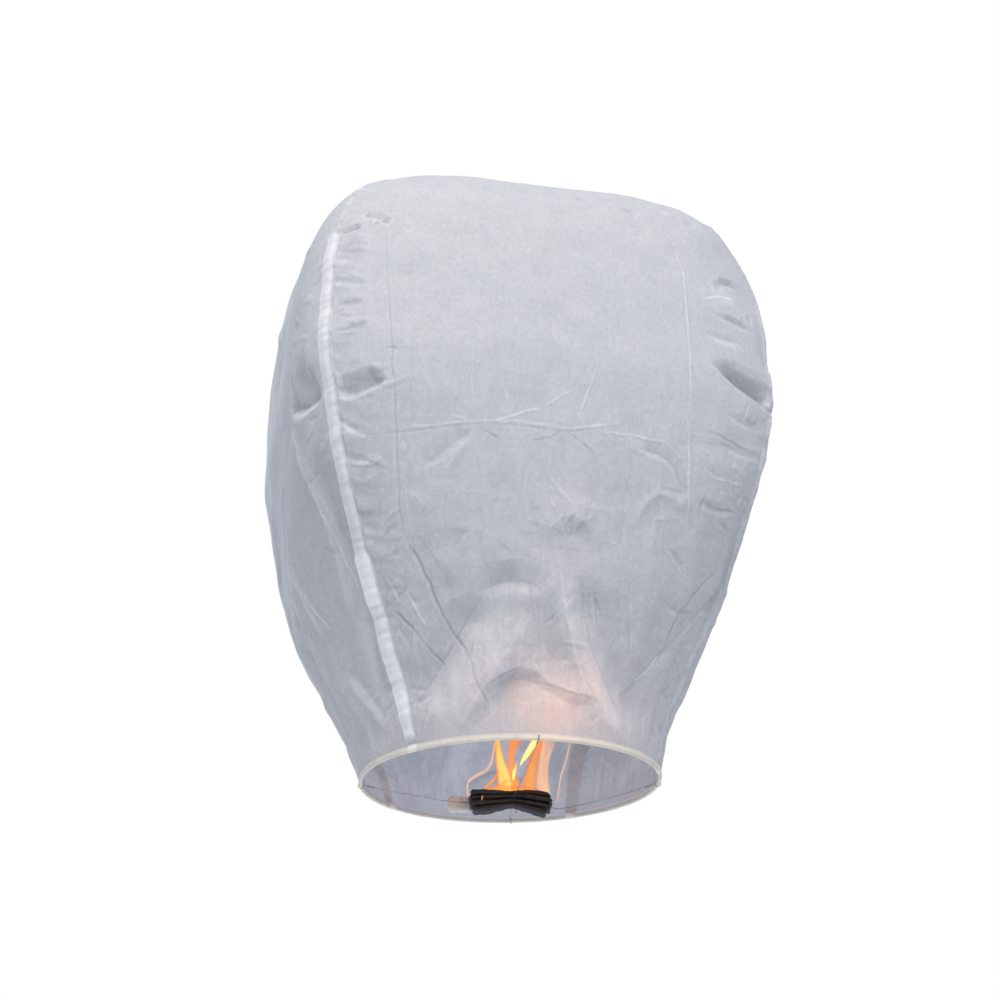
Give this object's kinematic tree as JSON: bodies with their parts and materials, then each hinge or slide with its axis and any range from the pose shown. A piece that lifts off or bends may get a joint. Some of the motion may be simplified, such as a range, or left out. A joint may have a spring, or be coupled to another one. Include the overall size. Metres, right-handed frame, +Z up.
{
  "type": "sky lantern",
  "caption": "Inflated tissue-paper sky lantern with lapped gores on a bamboo hoop and a folded fuel cell slung on crossed wires in its open mouth.",
  "frame": {"origin": "under the middle of the inflated lantern, level with the lowest point of the hanging fuel cell; the hoop's underside is 41 mm above it", "axes": "+Z up the lantern from the hoop to the crown, -Y out of its front gore, +X to the right of someone who looks at the front gore"},
  "size_m": [0.6921, 0.6758, 0.8557],
  "materials": {
    "tissue_paper": "matte",
    "split_bamboo": "satin",
    "steel_wire": "satin",
    "charred_fuel": "matte",
    "waxed_fuel": "satin"
  },
  "bodies": {
    "lantern": {"hoop_strip": "split_bamboo", "panel_front": "tissue_paper", "panel_right": "tissue_paper", "panel_back": "tissue_paper", "panel_left": "tissue_paper"},
    "crown": {"crown_patch": "tissue_paper"},
    "wire_cross": {"cross_wire_side": "steel_wire", "cross_wire_fore": "steel_wire"},
    "fuel_cell": {"fuel_strip_1": "charred_fuel", "fuel_strip_2": "charred_fuel", "fuel_strip_3": "charred_fuel", "fuel_strip_4": "charred_fuel", "fuel_strip_5": "waxed_fuel", "cell_tie": "steel_wire"}
  },
  "joints": [
    {"name": "envelope_collapse", "type": "slide", "parent": "lantern", "child": "crown", "axis": [0, 0, -1], "range_m": [0, 0.72], "deforming": ["panel_front", "panel_right", "panel_back", "panel_left"]},
    {"name": "cell_lift", "type": "slide", "parent": "lantern", "child": "wire_cross", "axis": [0, 0, 1], "range_m": [0, 0.045], "deforming": ["cross_wire_side", "cross_wire_fore"]},
    {"name": "cell_roll", "type": "hinge", "parent": "wire_cross", "child": "fuel_cell", "pos_m": [-0.005, 0.0005, 0.0185], "axis": [1, 0, 0], "range_deg": [-20, 20]}
  ]
}
